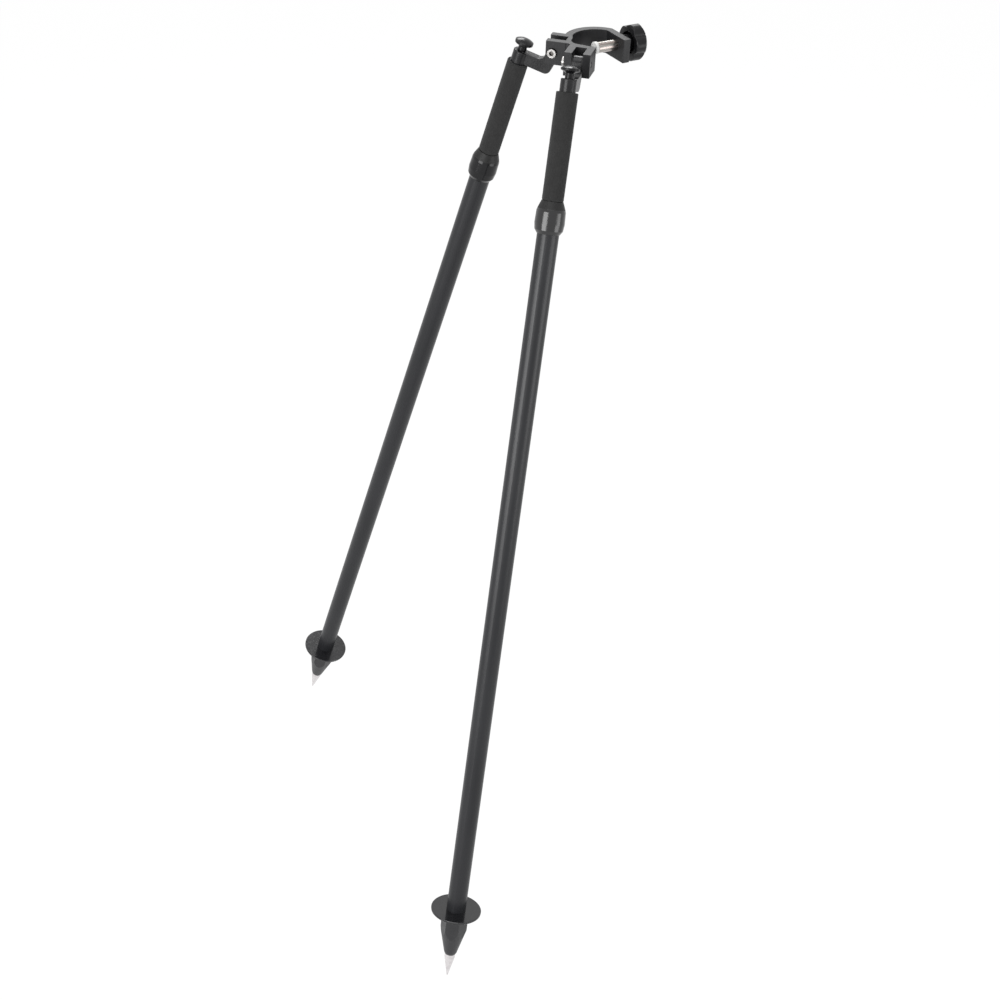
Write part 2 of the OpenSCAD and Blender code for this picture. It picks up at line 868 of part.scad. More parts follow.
clamp_body();
clamp_screw();
screw_pad();
clamp_knob();
knob_cap();
pivot_bolts();
pivot_washers();
knuckle(LEFT);  // left_knuckle
knuckle(RIGHT);  // right_knuckle
thumb_button(LEFT);  // left_thumb_button
thumb_button(RIGHT);  // right_thumb_button
push_rod(LEFT);  // left_push_rod
push_rod(RIGHT);  // right_push_rod
return_spring(LEFT);  // left_return_spring
return_spring(RIGHT);  // right_return_spring
spring_plug(LEFT);  // left_spring_plug
spring_plug(RIGHT);  // right_spring_plug
inner_tube(LEFT);  // left_inner_tube
inner_tube(RIGHT);  // right_inner_tube
foam_grip(LEFT);  // left_foam_grip
foam_grip(RIGHT);  // right_foam_grip
brake_collet(LEFT);  // left_brake_collet
brake_collet(RIGHT);  // right_brake_collet
brake_cone(LEFT);  // left_brake_cone
brake_cone(RIGHT);  // right_brake_cone
brake_nut(LEFT);  // left_brake_nut
brake_nut(RIGHT);  // right_brake_nut
guide_bush(LEFT);  // left_guide_bush
guide_bush(RIGHT);  // right_guide_bush
collar_cap(LEFT);  // left_collar_cap
collar_cap(RIGHT);  // right_collar_cap
guide_collar(LEFT);  // left_guide_collar
guide_collar(RIGHT);  // right_guide_collar
outer_tube(LEFT);  // left_outer_tube
outer_tube(RIGHT);  // right_outer_tube
foot_plate(LEFT);  // left_foot_plate
foot_plate(RIGHT);  // right_foot_plate
foot(LEFT);  // left_foot
foot(RIGHT);  // right_foot
steel_point(LEFT);  // left_steel_point
steel_point(RIGHT);  // right_steel_point
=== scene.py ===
# A surveyor's prism pole bipod: a pole clamp with two hinged telescoping legs, dressed piece by piece in the
# order in which it is put together. Lengths are metres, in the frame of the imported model.
import json
import math

import bmesh
import bpy
from mathutils import Matrix, Vector, noise


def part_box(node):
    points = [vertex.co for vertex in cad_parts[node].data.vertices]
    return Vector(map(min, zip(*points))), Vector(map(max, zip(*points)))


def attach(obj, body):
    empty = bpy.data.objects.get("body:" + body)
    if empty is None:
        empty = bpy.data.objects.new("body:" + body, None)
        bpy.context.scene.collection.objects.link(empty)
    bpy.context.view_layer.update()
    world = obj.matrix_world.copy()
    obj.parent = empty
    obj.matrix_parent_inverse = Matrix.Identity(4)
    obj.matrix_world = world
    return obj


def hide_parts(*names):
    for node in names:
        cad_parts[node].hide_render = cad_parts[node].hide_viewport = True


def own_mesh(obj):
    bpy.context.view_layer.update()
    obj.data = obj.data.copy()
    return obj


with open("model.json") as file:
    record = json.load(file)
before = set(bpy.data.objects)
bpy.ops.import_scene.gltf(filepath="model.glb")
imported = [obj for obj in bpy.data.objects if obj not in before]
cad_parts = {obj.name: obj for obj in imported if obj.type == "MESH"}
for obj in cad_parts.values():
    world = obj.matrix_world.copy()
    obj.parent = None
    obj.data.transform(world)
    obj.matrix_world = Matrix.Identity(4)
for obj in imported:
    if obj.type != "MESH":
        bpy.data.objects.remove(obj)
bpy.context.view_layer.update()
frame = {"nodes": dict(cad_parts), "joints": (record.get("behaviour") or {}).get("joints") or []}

# Clamp body: one length of black anodised aluminium extrusion, sawn off, drilled and counterbored. The drawn
# sides keep fine lines along the extrusion, and every edge is lightly broken and painted paler, partly as dye
# rubbed thin and partly as a painted highlight.


def blank_finish(name):
    finish = bpy.data.materials.new(name)
    finish.use_nodes = True
    return finish, finish.node_tree, finish.node_tree.nodes["Principled BSDF"]


def grain(tree, size, stretch=(1, 1, 1), turn=(0, 0, 0), detail=4.0):
    """Noise with features of about that size in metres, drawn out along an axis of the turned piece."""
    place = tree.nodes.new("ShaderNodeTexCoord")
    turned = tree.nodes.new("ShaderNodeMapping")
    turned.inputs["Rotation"].default_value = turn
    tree.links.new(place.outputs["Object"], turned.inputs["Vector"])
    drawn = tree.nodes.new("ShaderNodeMapping")
    drawn.inputs["Scale"].default_value = stretch
    tree.links.new(turned.outputs["Vector"], drawn.inputs["Vector"])
    cloud = tree.nodes.new("ShaderNodeTexNoise")
    cloud.inputs["Scale"].default_value = 1.0 / size
    cloud.inputs["Detail"].default_value = detail
    tree.links.new(drawn.outputs["Vector"], cloud.inputs["Vector"])
    return cloud.outputs["Fac"]


def spread(tree, source, low, high, start=0.3, stop=0.7):
    """The part of a pattern from start to stop, spread over low to high."""
    span = tree.nodes.new("ShaderNodeMapRange")
    span.inputs["From Min"].default_value = start
    span.inputs["From Max"].default_value = stop
    span.inputs["To Min"].default_value = low
    span.inputs["To Max"].default_value = high
    tree.links.new(source, span.inputs["Value"])
    return span.outputs["Result"]


def blend_colours(tree, share, first, second):
    mix = tree.nodes.new("ShaderNodeMix")
    mix.data_type = "RGBA"
    tree.links.new(share, mix.inputs["Factor"])
    first_socket, second_socket, blended = mix.inputs[6], mix.inputs[7], mix.outputs[2]
    for socket, colour in ((first_socket, first), (second_socket, second)):
        if isinstance(colour, tuple):
            socket.default_value = (*colour, 1)
        else:
            tree.links.new(colour, socket)
    return blended


def two_tone(tree, pattern, dark, pale, start=0.3, stop=0.7):
    return blend_colours(tree, spread(tree, pattern, 0, 1, start, stop), dark, pale)


def broken_edge(tree, radius):
    """The normal of an edge rounded to that radius, and how near a point is to such an edge."""
    bent, nearly_flat = 0.75, 0.995
    rounding = tree.nodes.new("ShaderNodeBevel")
    rounding.samples = 6
    rounding.inputs["Radius"].default_value = radius
    surface = tree.nodes.new("ShaderNodeNewGeometry")
    likeness = tree.nodes.new("ShaderNodeVectorMath")
    likeness.operation = "DOT_PRODUCT"
    tree.links.new(rounding.outputs["Normal"], likeness.inputs[0])
    tree.links.new(surface.outputs["Normal"], likeness.inputs[1])
    return rounding.outputs["Normal"], spread(tree, likeness.outputs["Value"], 1, 0, bent, nearly_flat)


def relief(tree, height, depth, normal=None):
    bump = tree.nodes.new("ShaderNodeBump")
    bump.inputs["Distance"].default_value = depth
    bump.inputs["Strength"].default_value = 1.0
    tree.links.new(height, bump.inputs["Height"])
    if normal is not None:
        tree.links.new(normal, bump.inputs["Normal"])
    return bump.outputs["Normal"]


def dress(node_names, finish):
    for name in node_names:
        slots = frame["nodes"][name].data.materials
        slots.clear()
        slots.append(finish)


edge_break = 0.0005
line_width = 0.0006
line_depth = 0.00002
along_extrusion = (1, 1, 0.02)
patch_size = 0.012
dark_dye = (0.011, 0.011, 0.012)
pale_dye = (0.016, 0.016, 0.0175)
# Paler colour along the broken edges: partly rubbed dye, partly a painted highlight.
worn_and_highlit_edge_dye = (0.05, 0.05, 0.053)
roughness = (0.42, 0.54)
gloss = 0.32
extrusion_black, tree, shader = blank_finish("anodised_extrusion")
edge_normal, edge = broken_edge(tree, edge_break)
drawn_lines = grain(tree, line_width, along_extrusion)
anodised = two_tone(tree, grain(tree, patch_size), dark_dye, pale_dye)
tree.links.new(blend_colours(tree, edge, anodised, worn_and_highlit_edge_dye), shader.inputs["Base Color"])
tree.links.new(spread(tree, drawn_lines, *roughness), shader.inputs["Roughness"])
tree.links.new(relief(tree, drawn_lines, line_depth, edge_normal), shader.inputs["Normal"])
shader.inputs["Specular IOR Level"].default_value = gloss
dress(["clamp_body"], extrusion_black)

# Pivot bolts: turned steel with a bright nickel plate, the hinge pins of the two legs. Their heads are sunk in the
# ears of the clamp, and painted shade darkens the hexagon sockets where the surface is enclosed.
edge_break = 0.0003
turning_width = 0.0009
turning_tilt = (0.4, 0.7, 0.2)
turning_depth = 0.00001
cloud_size = 0.006
socket_reach = 0.004
sheltered, open_air = 0.35, 0.85
dull_nickel = (0.30, 0.29, 0.285)
clear_nickel = (0.42, 0.41, 0.40)
# Painted shade in the sockets: the plate turns darker where ambient occlusion finds the surface enclosed.
painted_socket_shade = (0.05, 0.045, 0.04)
roughness = (0.22, 0.34)
bright_nickel, tree, shader = blank_finish("bright_nickel")
edge_normal, edge = broken_edge(tree, edge_break)
turning = grain(tree, turning_width, turn=turning_tilt, detail=2.0)
clouding = grain(tree, cloud_size)
plate = two_tone(tree, clouding, dull_nickel, clear_nickel)
shelter = tree.nodes.new("ShaderNodeAmbientOcclusion")
shelter.samples = 8
shelter.inputs["Distance"].default_value = socket_reach
plate_with_painted_shade = two_tone(tree, shelter.outputs["AO"], painted_socket_shade, plate, sheltered, open_air)
tree.links.new(plate_with_painted_shade, shader.inputs["Base Color"])
tree.links.new(spread(tree, clouding, *roughness), shader.inputs["Roughness"])
tree.links.new(relief(tree, turning, turning_depth, edge_normal), shader.inputs["Normal"])
shader.inputs["Metallic"].default_value = 1.0
dress(["pivot_bolts"], bright_nickel)

# Clamp screw: a steel rod with a nickel plate, run through the jaw and fixed in the knob. It is rolled, and its
# colour carries painted reflections: bright and dark bands along the screw, in warm and cool tints.
band_width = 0.0016
warmth_width = 0.003
along_screw = (1, 0.03, 1)
warmth_turn = (0, 0.9, 0)
band_depth = 0.000008
# Painted reflections: bright and dark bands in the screw's colour, in warm and cool tints.
reflection_band_contrast = (0.36, 0.64)
warmth_contrast = (0.4, 0.6)
cool_reflection_dark, cool_reflection_bright = (0.11, 0.105, 0.09), (0.44, 0.425, 0.40)
warm_reflection_dark, warm_reflection_bright = (0.17, 0.135, 0.12), (0.50, 0.44, 0.415)
roughness = (0.2, 0.3)
rolled_nickel, tree, shader = blank_finish("rolled_nickel")
bands = grain(tree, band_width, along_screw, detail=3.0)
warmth = grain(tree, warmth_width, along_screw, warmth_turn, 1.0)
cool_painted_reflections = two_tone(tree, bands, cool_reflection_dark, cool_reflection_bright, *reflection_band_contrast)
warm_painted_reflections = two_tone(tree, bands, warm_reflection_dark, warm_reflection_bright, *reflection_band_contrast)
tree.links.new(two_tone(tree, warmth, cool_painted_reflections, warm_painted_reflections, *warmth_contrast), shader.inputs["Base Color"])
tree.links.new(spread(tree, bands, *roughness), shader.inputs["Roughness"])
tree.links.new(relief(tree, bands, band_depth), shader.inputs["Normal"])
shader.inputs["Metallic"].default_value = 1.0
dress(["clamp_screw"], rolled_nickel)

# Friction washers: stamped from black nylon sheet, one on either side of each knuckle arm. The bolts squeeze them,
# so that a leg stays at the angle it is set to.
stamping_size = 0.0008
dark_sheet = (0.012, 0.012, 0.012)
pale_sheet = (0.022, 0.022, 0.022)
roughness = (0.5, 0.65)
gloss = 0.3
black_nylon, tree, shader = blank_finish("black_nylon")
stamping = grain(tree, stamping_size)
tree.links.new(two_tone(tree, stamping, dark_sheet, pale_sheet), shader.inputs["Base Color"])
tree.links.new(spread(tree, stamping, *roughness), shader.inputs["Roughness"])
shader.inputs["Specular IOR Level"].default_value = gloss
dress(["pivot_washers"], black_nylon)

# Screw pad, slide bushes and brake collets: turned from white nylon, a little translucent, with a fine matte skin.
# The pad turns on the screw's end, and the others sit on the tubes inside the legs.
skin_size = 0.0005
skin_depth = 0.00003
mottle_size = 0.004
grey_white = (0.80, 0.80, 0.78)
clear_white = (0.86, 0.86, 0.85)
roughness = (0.38, 0.55)
translucency = 0.15
light_depth = (0.001, 0.001, 0.001)
white_nylon, tree, shader = blank_finish("white_nylon")
skin = grain(tree, skin_size)
mottle = grain(tree, mottle_size)
tree.links.new(two_tone(tree, mottle, grey_white, clear_white), shader.inputs["Base Color"])
tree.links.new(spread(tree, skin, *roughness), shader.inputs["Roughness"])
tree.links.new(relief(tree, skin, skin_depth), shader.inputs["Normal"])
shader.inputs["Subsurface Weight"].default_value = translucency
shader.inputs["Subsurface Radius"].default_value = light_depth
dress(
    ["screw_pad", "left_guide_bush", "right_guide_bush", "left_brake_collet", "right_brake_collet"],
    white_nylon,
)

# Clamp knob and its cap: a lobed black nylon moulding on the screw, with a fine spark-eroded grain that shines
# where hands rub it. Its edges are painted paler, partly rubbed and partly a painted highlight.
edge_break = 0.0008
erosion_size = 0.0004
erosion_depth = 0.00006
handling_size = 0.009
moulded_black = (0.007, 0.007, 0.008)
# Paler colour along the edges: partly rubbed, partly a painted highlight.
worn_and_highlit_edge_black = (0.04, 0.04, 0.043)
roughness = (0.26, 0.42)
gloss = 0.24
knob_nylon, tree, shader = blank_finish("moulded_knob")
edge_normal, edge = broken_edge(tree, edge_break)
erosion = grain(tree, erosion_size, detail=2.0)
handling = grain(tree, handling_size)
tree.links.new(blend_colours(tree, edge, moulded_black, worn_and_highlit_edge_black), shader.inputs["Base Color"])
tree.links.new(spread(tree, handling, *roughness), shader.inputs["Roughness"])
tree.links.new(relief(tree, erosion, erosion_depth, edge_normal), shader.inputs["Normal"])
shader.inputs["Specular IOR Level"].default_value = gloss
dress(["clamp_knob", "knob_cap"], knob_nylon)

# Knuckles: castings with a satin black coat, each a dog-leg arm that hinges in a clevis and a socket that carries
# the leg's inner tube. Their edges are painted paler, partly rubbed coat and partly a painted highlight.
edge_break = 0.0008
peel_size = 0.0011
peel_depth = 0.00004
tone_size = 0.01
dark_coat = (0.008, 0.008, 0.009)
pale_coat = (0.013, 0.013, 0.014)
# Paler colour along the edges: partly rubbed coat, partly a painted highlight.
worn_and_highlit_edge_coat = (0.05, 0.05, 0.053)
roughness = (0.22, 0.32)
gloss = 0.3
casting_black, tree, shader = blank_finish("satin_casting")
edge_normal, edge = broken_edge(tree, edge_break)
orange_peel = grain(tree, peel_size, detail=2.0)
coat_tone = grain(tree, tone_size)
coat = two_tone(tree, coat_tone, dark_coat, pale_coat)
tree.links.new(blend_colours(tree, edge, coat, worn_and_highlit_edge_coat), shader.inputs["Base Color"])
tree.links.new(spread(tree, coat_tone, *roughness), shader.inputs["Roughness"])
tree.links.new(relief(tree, orange_peel, peel_depth, edge_normal), shader.inputs["Normal"])
shader.inputs["Specular IOR Level"].default_value = gloss
dress(["left_knuckle", "right_knuckle"], casting_black)

# Thumb buttons: glossy black mushroom mouldings on a stem that slides in the knuckle's socket. Pressing one frees
# its leg, and fingers leave the gloss a little uneven.
edge_break = 0.0006
fingering_size = 0.004
fingering_depth = 0.00002
clean_black = (0.004, 0.004, 0.0045)
handled_black = (0.008, 0.008, 0.009)
roughness = (0.16, 0.28)
gloss = 0.24
gloss_black, tree, shader = blank_finish("gloss_button")
edge_normal, edge = broken_edge(tree, edge_break)
fingering = grain(tree, fingering_size)
tree.links.new(two_tone(tree, fingering, clean_black, handled_black), shader.inputs["Base Color"])
tree.links.new(spread(tree, fingering, *roughness), shader.inputs["Roughness"])
tree.links.new(relief(tree, fingering, fingering_depth, edge_normal), shader.inputs["Normal"])
shader.inputs["Specular IOR Level"].default_value = gloss
dress(["left_thumb_button", "right_thumb_button"], gloss_black)

# Release train inside each leg: a drawn aluminium push rod, a return spring and a brake nut of plain steel, and a
# spring plug and a brake cone turned from brass.
streak_width = 0.0008
along_rod = (1, 1, 0.05)
dark_aluminium = (0.60, 0.60, 0.62)
pale_aluminium = (0.72, 0.72, 0.74)
roughness = (0.28, 0.4)
drawn_aluminium, tree, shader = blank_finish("drawn_aluminium")
streaks = grain(tree, streak_width, along_rod)
tree.links.new(two_tone(tree, streaks, dark_aluminium, pale_aluminium), shader.inputs["Base Color"])
tree.links.new(spread(tree, streaks, *roughness), shader.inputs["Roughness"])
shader.inputs["Metallic"].default_value = 1.0
dress(["left_push_rod", "right_push_rod"], drawn_aluminium)

mill_scale_size = 0.001
dark_steel = (0.45, 0.45, 0.46)
pale_steel = (0.62, 0.62, 0.63)
roughness = (0.25, 0.4)
spring_steel, tree, shader = blank_finish("spring_steel")
mill_scale = grain(tree, mill_scale_size)
tree.links.new(two_tone(tree, mill_scale, dark_steel, pale_steel), shader.inputs["Base Color"])
tree.links.new(spread(tree, mill_scale, *roughness), shader.inputs["Roughness"])
shader.inputs["Metallic"].default_value = 1.0
dress(["left_return_spring", "right_return_spring", "left_brake_nut", "right_brake_nut"], spring_steel)

tool_mark_width = 0.0006
across_brass = (1, 1, 3)
dark_brass = (0.60, 0.44, 0.20)
pale_brass = (0.74, 0.58, 0.30)
roughness = (0.22, 0.36)
turned_brass, tree, shader = blank_finish("turned_brass")
tool_marks = grain(tree, tool_mark_width, across_brass)
tree.links.new(two_tone(tree, tool_marks, dark_brass, pale_brass), shader.inputs["Base Color"])
tree.links.new(spread(tree, tool_marks, *roughness), shader.inputs["Roughness"])
shader.inputs["Metallic"].default_value = 1.0
dress(["left_spring_plug", "right_spring_plug", "left_brake_cone", "right_brake_cone"], turned_brass)

# Return springs: coils of round spring steel wire between the rod's collar and the plug. Each is a coil of its own
# here, built in place and carried by its upper leg.


def leg_stand(side, middle):
    """Where a piece made upright round the origin stands on a leg, with that point as its origin."""
    tilt = Vector((0, 0, -1)).rotation_difference(leg_down[side])
    return Matrix.Translation(middle) @ tilt.to_matrix().to_4x4()


def set_piece(name, shape, finish):
    bmesh.ops.recalc_face_normals(shape, faces=shape.faces)
    mesh = bpy.data.meshes.new(name)
    shape.to_mesh(mesh)
    shape.free()
    mesh.materials.append(finish)
    piece = bpy.data.objects.new(name, mesh)
    bpy.context.scene.collection.objects.link(piece)
    return piece


coil_radius = 0.0053
wire_radius = 0.0006
coil_turns = 7
coil_length = 0.0201
coil_lift = 0.0023
steps_per_turn = 24
wire_sides = 10
leg_down = {}
for joint in frame["joints"]:
    side, motion = joint["name"].split("_", 1)
    if motion == "leg_extend":
        leg_down[side] = Vector(joint["axis"]).normalized()
for side in ("left", "right"):
    low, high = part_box(side + "_spring_plug")
    seat = (low + high) / 2 - coil_lift * leg_down[side]
    stand = leg_stand(side, seat)
    shape = bmesh.new()
    rings = []
    steps = coil_turns * steps_per_turn
    for step in range(steps + 1):
        a = 2 * math.pi * step / steps_per_turn
        outward = Vector((math.cos(a), math.sin(a), 0))
        middle = coil_radius * outward
        middle.z = wire_radius + (coil_length - 2 * wire_radius) * step / steps
        ring = []
        for k in range(wire_sides):
            b = 2 * math.pi * k / wire_sides
            rim = wire_radius * (math.cos(b) * outward + Vector((0, 0, math.sin(b))))
            ring.append(shape.verts.new(stand @ (middle + rim)))
        rings.append(ring)
    for here, after in zip(rings, rings[1:]):
        for k in range(wire_sides):
            j = (k + 1) % wire_sides
            shape.faces.new((here[k], here[j], after[j], after[k])).smooth = True
    shape.faces.new(rings[0])
    shape.faces.new(rings[-1])
    coil = set_piece(side + "_spring_coil", shape, spring_steel)
    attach(coil, side + "_upper_leg")
    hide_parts(side + "_return_spring")
    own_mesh(coil)

# Foam grips: sleeves of black closed-cell foam, stretched over the inner tubes. The skin is dry and dull, with
# fine open cells darkened by painted shade in their pits, and the ends are rounded off.
cells_per_metre = 1400
cell_depth = 0.00012
cell_contrast = (0.1, 0.6)
dust_size = 0.007
# Painted shade: each open cell darkens towards its middle, where the bump sinks into a pit.
painted_pit_shade = (0.016, 0.016, 0.016)
dark_foam = (0.024, 0.024, 0.024)
dusty_foam = (0.031, 0.031, 0.031)
dry_roughness = 0.95
gloss = 0.25
fuzz = 0.12
fuzz_roughness = 0.5
foam_black, tree, shader = blank_finish("grip_foam")
where = tree.nodes.new("ShaderNodeTexCoord")
cells = tree.nodes.new("ShaderNodeTexVoronoi")
cells.inputs["Scale"].default_value = cells_per_metre
tree.links.new(where.outputs["Object"], cells.inputs["Vector"])
foam_tone = two_tone(tree, grain(tree, dust_size), dark_foam, dusty_foam)
tree.links.new(
    two_tone(tree, cells.outputs["Distance"], painted_pit_shade, foam_tone, *cell_contrast), shader.inputs["Base Color"]
)
tree.links.new(relief(tree, cells.outputs["Distance"], cell_depth), shader.inputs["Normal"])
shader.inputs["Roughness"].default_value = dry_roughness
shader.inputs["Specular IOR Level"].default_value = gloss
shader.inputs["Sheen Weight"].default_value = fuzz
shader.inputs["Sheen Roughness"].default_value = fuzz_roughness

grip_radius = 0.01225
grip_bore = 0.0098
grip_half = 0.05775
grip_edge = 0.0011
edge_steps = 6
rows = 118
rings_round = 96
pit_depth = 0.00014
fine_pits = 900
broad_pits = 160
core = grip_radius - grip_edge
outline = [(grip_bore, -grip_half), (core, -grip_half)]
for step in range(1, edge_steps + 1):
    turn = math.pi / 2 * (step / edge_steps - 1)
    outline.append((core + grip_edge * math.cos(turn), -grip_half + grip_edge + grip_edge * math.sin(turn)))
for step in range(1, rows):
    outline.append((grip_radius, -grip_half + grip_edge + 2 * (grip_half - grip_edge) * step / rows))
for step in range(edge_steps + 1):
    turn = math.pi / 2 * step / edge_steps
    outline.append((core + grip_edge * math.cos(turn), grip_half - grip_edge + grip_edge * math.sin(turn)))
outline.append((grip_bore, grip_half))
for side in ("left", "right"):
    low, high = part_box(side + "_foam_grip")
    stand = leg_stand(side, (low + high) / 2)
    shape = bmesh.new()
    rings = []
    for k in range(rings_round):
        a = 2 * math.pi * k / rings_round
        ring = []
        for r, z in outline:
            here = Vector((r * math.cos(a), r * math.sin(a), z))
            if r > grip_bore:
                fine = 0.5 + 0.5 * noise.noise(here * fine_pits)
                broad = abs(noise.noise(here * broad_pits))
                r -= pit_depth * (fine + broad)
            ring.append(shape.verts.new(stand @ Vector((r * math.cos(a), r * math.sin(a), z))))
        rings.append(ring)
    for k in range(rings_round):
        here, after = rings[k], rings[(k + 1) % rings_round]
        for i in range(len(outline)):
            j = (i + 1) % len(outline)
            shape.faces.new((here[i], after[i], after[j], here[j])).smooth = i != len(outline) - 1
    sleeve = set_piece(side + "_grip_sleeve", shape, foam_black)
    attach(sleeve, side + "_upper_leg")
    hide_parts(side + "_foam_grip")

# Collar caps: matte black rubber shoulders, pushed on above the guide collars. They keep grit out of the slide, and
# their moulded skin is slightly uneven.
skin_size = 0.0005
skin_depth = 0.00004
tone_size = 0.006
dark_rubber = (0.008, 0.008, 0.008)
pale_rubber = (0.014, 0.014, 0.014)
roughness = (0.4, 0.6)
gloss = 0.3
rubber_black, tree, shader = blank_finish("cap_rubber")
rubber_grain = grain(tree, skin_size)
rubber_tone = grain(tree, tone_size)
tree.links.new(two_tone(tree, rubber_tone, dark_rubber, pale_rubber), shader.inputs["Base Color"])
tree.links.new(spread(tree, rubber_grain, *roughness), shader.inputs["Roughness"])
tree.links.new(relief(tree, rubber_grain, skin_depth), shader.inputs["Normal"])
shader.inputs["Specular IOR Level"].default_value = gloss
dress(["left_collar_cap", "right_collar_cap"], rubber_black)

# Guide collars: barrel-shaped rings on the outer tubes' top ends, of black anodised aluminium, turned and polished.
# The right one is given more gloss than the left one, a painted shine for the light that falls on each, and
# their edges are painted paler, partly rubbed and partly a painted highlight.
edge_break = 0.0004
buffing_width = 0.0007
buffing_depth = 0.00001
round_collar = (0.1, 0.1, 1)
collar_black = (0.008, 0.008, 0.009)
# Paler colour along the edges: partly rubbed, partly a painted highlight.
collar_worn_and_highlit_edge = (0.025, 0.025, 0.026)
roughness = (0.12, 0.2)
# Per-side gloss: the right collar's extra shine is painted, standing in for the light that falls on it.
collar_gloss_with_painted_shine = {"left": 0.28, "right": 0.6}
upright = {side: leg_down[side].rotation_difference(Vector((0, 0, 1))).to_euler() for side in ("left", "right")}
for side in ("left", "right"):
    polished, tree, shader = blank_finish(side + "_polished_collar")
    edge_normal, edge = broken_edge(tree, edge_break)
    buffing = grain(tree, buffing_width, round_collar, upright[side])
    tree.links.new(blend_colours(tree, edge, collar_black, collar_worn_and_highlit_edge), shader.inputs["Base Color"])
    tree.links.new(spread(tree, buffing, *roughness), shader.inputs["Roughness"])
    tree.links.new(relief(tree, buffing, buffing_depth, edge_normal), shader.inputs["Normal"])
    shader.inputs["Specular IOR Level"].default_value = collar_gloss_with_painted_shine[side]
    dress([side + "_guide_collar"], polished)

# Inner and outer tubes: drawn aluminium tubes with a satin black anodised skin, which keeps fine lines along their
# length. The outer tube slides down over the inner one.
drawing_width = 0.0009
drawing_depth = 0.00001
along_tube = (1, 1, 0.01)
tone_size = 0.03
tone_stretch = (1, 1, 0.3)
dark_tube = (0.012, 0.0125, 0.0145)
pale_tube = (0.018, 0.0185, 0.021)
roughness = (0.30, 0.40)
gloss = 0.35
for side in ("left", "right"):
    tube_black, tree, shader = blank_finish(side + "_anodised_tube")
    drawing = grain(tree, drawing_width, along_tube, upright[side])
    tone = grain(tree, tone_size, tone_stretch, upright[side])
    tree.links.new(two_tone(tree, tone, dark_tube, pale_tube), shader.inputs["Base Color"])
    tree.links.new(spread(tree, drawing, *roughness), shader.inputs["Roughness"])
    tree.links.new(relief(tree, drawing, drawing_depth), shader.inputs["Normal"])
    shader.inputs["Specular IOR Level"].default_value = gloss
    dress([side + "_inner_tube", side + "_outer_tube"], tube_black)

# Feet: hexagon bars of black anodised aluminium, turned to a cone and fixed in the outer tubes. The tool's lines
# run round them, and their edges are painted grey, partly rubbed and partly a painted highlight.
edge_break = 0.0006
tool_line_width = 0.0008
tool_line_depth = 0.00003
round_foot = (0.05, 0.05, 1)
tone_size = 0.012
dark_foot = (0.020, 0.020, 0.022)
pale_foot = (0.030, 0.030, 0.032)
# Grey colour along the edges: partly rubbed, partly a painted highlight.
worn_and_highlit_edge_foot = (0.08, 0.08, 0.084)
roughness = (0.32, 0.48)
gloss = 0.4
for side in ("left", "right"):
    foot_black, tree, shader = blank_finish(side + "_turned_foot")
    edge_normal, edge = broken_edge(tree, edge_break)
    tool_lines = grain(tree, tool_line_width, round_foot, upright[side])
    foot_tone = two_tone(tree, grain(tree, tone_size), dark_foot, pale_foot)
    tree.links.new(blend_colours(tree, edge, foot_tone, worn_and_highlit_edge_foot), shader.inputs["Base Color"])
    tree.links.new(spread(tree, tool_lines, *roughness), shader.inputs["Roughness"])
    tree.links.new(relief(tree, tool_lines, tool_line_depth, edge_normal), shader.inputs["Normal"])
    shader.inputs["Specular IOR Level"].default_value = gloss
    dress([side + "_foot"], foot_black)

# Foot plates: round step plates of black anodised aluminium, faced smooth on both sides and held between tube and
# foot. They shine more than the feet and carry faint scuffs, and their edges are painted paler, partly rubbed and
# partly a painted highlight.
edge_break = 0.0004
facing_width = 0.0009
round_plate = (0.3, 0.3, 1)
scuff_size = 0.008
scuff_depth = 0.00001
dark_plate = (0.010, 0.010, 0.012)
scuffed_plate = (0.016, 0.016, 0.018)
# Paler colour along the edges: partly rubbed, partly a painted highlight.
worn_and_highlit_edge_plate = (0.03, 0.03, 0.033)
roughness = (0.09, 0.17)
gloss = 0.55
for side in ("left", "right"):
    plate_black, tree, shader = blank_finish(side + "_step_plate")
    edge_normal, edge = broken_edge(tree, edge_break)
    facing_lines = grain(tree, facing_width, round_plate, upright[side])
    scuffs = grain(tree, scuff_size)
    plate_tone = two_tone(tree, scuffs, dark_plate, scuffed_plate)
    tree.links.new(blend_colours(tree, edge, plate_tone, worn_and_highlit_edge_plate), shader.inputs["Base Color"])
    tree.links.new(spread(tree, facing_lines, *roughness), shader.inputs["Roughness"])
    tree.links.new(relief(tree, scuffs, scuff_depth, edge_normal), shader.inputs["Normal"])
    shader.inputs["Specular IOR Level"].default_value = gloss
    dress([side + "_foot_plate"], plate_black)

# Steel points: ground from round bar, plated bright and screwed into the feet. The plate is slightly tarnished, and
# fine grinding marks stay in it.
grinding_size = 0.0007
grinding_depth = 0.00001
tarnish_size = 0.006
tarnished = (0.62, 0.595, 0.60)
bright = (0.76, 0.735, 0.74)
roughness = (0.2, 0.32)
point_steel, tree, shader = blank_finish("ground_point")
grinding = grain(tree, grinding_size, detail=2.0)
tarnish = grain(tree, tarnish_size)
tree.links.new(two_tone(tree, tarnish, tarnished, bright), shader.inputs["Base Color"])
tree.links.new(spread(tree, tarnish, *roughness), shader.inputs["Roughness"])
tree.links.new(relief(tree, grinding, grinding_depth), shader.inputs["Normal"])
shader.inputs["Metallic"].default_value = 1.0
dress(["left_steel_point", "right_steel_point"], point_steel)

# Stage: a white sweep below the points at the legs' full reach, a white surround that the camera, metal and gloss
# see, and soft boxes above, behind and to both sides.


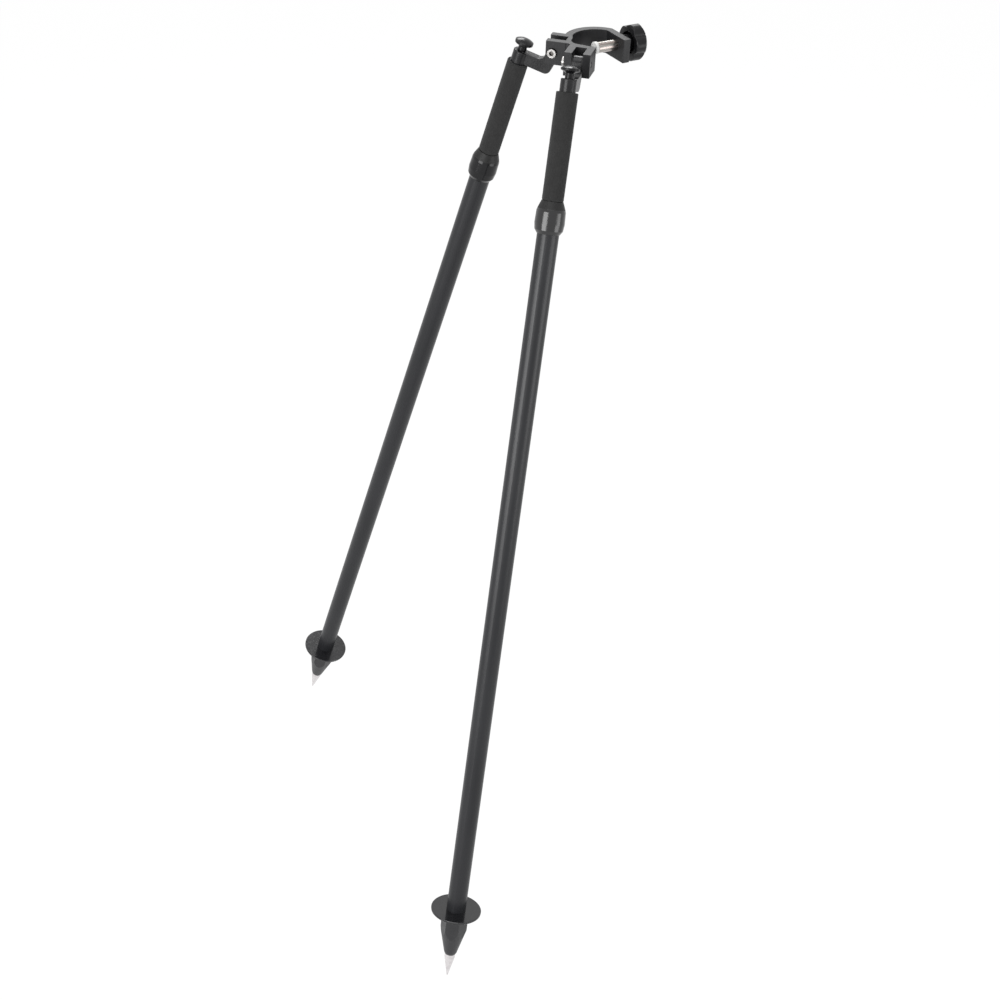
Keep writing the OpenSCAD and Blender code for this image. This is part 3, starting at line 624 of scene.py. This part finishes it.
def seen_directly(tree):
    """One for rays from the camera, from gloss and through glass, and nothing for the light that falls on the piece."""
    path = tree.nodes.new("ShaderNodeLightPath")
    seen = path.outputs["Is Camera Ray"]
    for ray in ("Is Glossy Ray", "Is Transmission Ray"):
        either = tree.nodes.new("ShaderNodeMath")
        either.operation = "MAXIMUM"
        tree.links.new(seen, either.inputs[0])
        tree.links.new(path.outputs[ray], either.inputs[1])
        seen = either.outputs[0]
    return seen


white = (1, 1, 1, 1)
floor_z = -1.9
floor_half = 12
floor_paint = (0.9, 0.9, 0.9, 1)
floor_roughness = 0.9
floor_glow = 1.06
glow_share = 0.9
sweep_mesh = bpy.data.meshes.new("sweep")
sweep_mesh.from_pydata(
    [(x * floor_half, y * floor_half, floor_z) for x, y in ((-1, -1), (1, -1), (1, 1), (-1, 1))], [], [(0, 1, 2, 3)]
)
sweep = bpy.data.objects.new("sweep", sweep_mesh)
bpy.context.scene.collection.objects.link(sweep)
sweep_white, tree, shader = blank_finish("sweep_white")
shader.inputs["Base Color"].default_value = floor_paint
shader.inputs["Roughness"].default_value = floor_roughness
shader.inputs["Specular IOR Level"].default_value = 0.0
glow = tree.nodes.new("ShaderNodeEmission")
glow.inputs["Color"].default_value = white
glow.inputs["Strength"].default_value = floor_glow
share = tree.nodes.new("ShaderNodeMath")
share.operation = "MULTIPLY"
share.inputs[1].default_value = glow_share
tree.links.new(seen_directly(tree), share.inputs[0])
mixed = tree.nodes.new("ShaderNodeMixShader")
tree.links.new(share.outputs[0], mixed.inputs[0])
tree.links.new(shader.outputs[0], mixed.inputs[1])
tree.links.new(glow.outputs[0], mixed.inputs[2])
tree.links.new(mixed.outputs[0], tree.nodes["Material Output"].inputs["Surface"])
sweep_mesh.materials.append(sweep_white)

fill_strength = 0.4
backdrop_strength = 1.0
surround = bpy.data.worlds.new("white_surround")
bpy.context.scene.world = surround
surround.use_nodes = True
tree = surround.node_tree
tree.nodes.clear()
lighting = tree.nodes.new("ShaderNodeBackground")
lighting.inputs["Color"].default_value = white
lighting.inputs["Strength"].default_value = fill_strength
backdrop = tree.nodes.new("ShaderNodeBackground")
backdrop.inputs["Color"].default_value = white
backdrop.inputs["Strength"].default_value = backdrop_strength
mixed = tree.nodes.new("ShaderNodeMixShader")
tree.links.new(seen_directly(tree), mixed.inputs[0])
tree.links.new(lighting.outputs[0], mixed.inputs[1])
tree.links.new(backdrop.outputs[0], mixed.inputs[2])
ending = tree.nodes.new("ShaderNodeOutputWorld")
tree.links.new(mixed.outputs[0], ending.inputs["Surface"])

for name, spot, aim, width, height, power in (
    ("overhead_box", (0.3, -0.4, 2.2), (0, -0.15, -0.5), 2.0, 2.0, 26),
    ("back_box", (-3.1, 1.8, 2.75), (0, 0, 0), 1.5, 1.5, 74),
    ("left_box", (0.85, -2.2, 0.1), (0.2, -0.2, -0.25), 1.5, 1.5, 42),
    ("right_box", (1.95, 1.0, -0.4), (0.2, -0.2, -0.4), 1.4, 0.9, 12.5),
):
    lamp = bpy.data.lights.new(name, "AREA")
    lamp.shape = "RECTANGLE"
    lamp.size = width
    lamp.size_y = height
    lamp.energy = power
    box = bpy.data.objects.new(name, lamp)
    box.location = spot
    box.rotation_euler = (Vector(aim) - Vector(spot)).to_track_quat("-Z", "Y").to_euler()
    bpy.context.scene.collection.objects.link(box)

# Camera: above the right leg, looking down across the bipod as the photograph does. Its place, its turn and its
# focal length were fitted to the edges in the photograph.
camera_spot = (1.3092, -0.8364, 0.5493)
view = Vector((-0.6904, 0.3971, -0.6048)).normalized()
over = Vector((-0.5428, 0.2684, 0.7958))
over = (over - view * over.dot(view)).normalized()
across = view.cross(over)
sensor_width = 36.0
focal_share = 1.4097
nearest = 0.01
lens = bpy.data.cameras.new("camera")
lens.sensor_width = sensor_width
lens.lens = sensor_width * focal_share
lens.clip_start = nearest
camera = bpy.data.objects.new("camera", lens)
camera.matrix_world = Matrix.Translation(camera_spot) @ Matrix((across, over, -view)).transposed().to_4x4()
bpy.context.scene.collection.objects.link(camera)
bpy.context.scene.camera = camera
bpy.context.scene.view_settings.view_transform = "Standard"
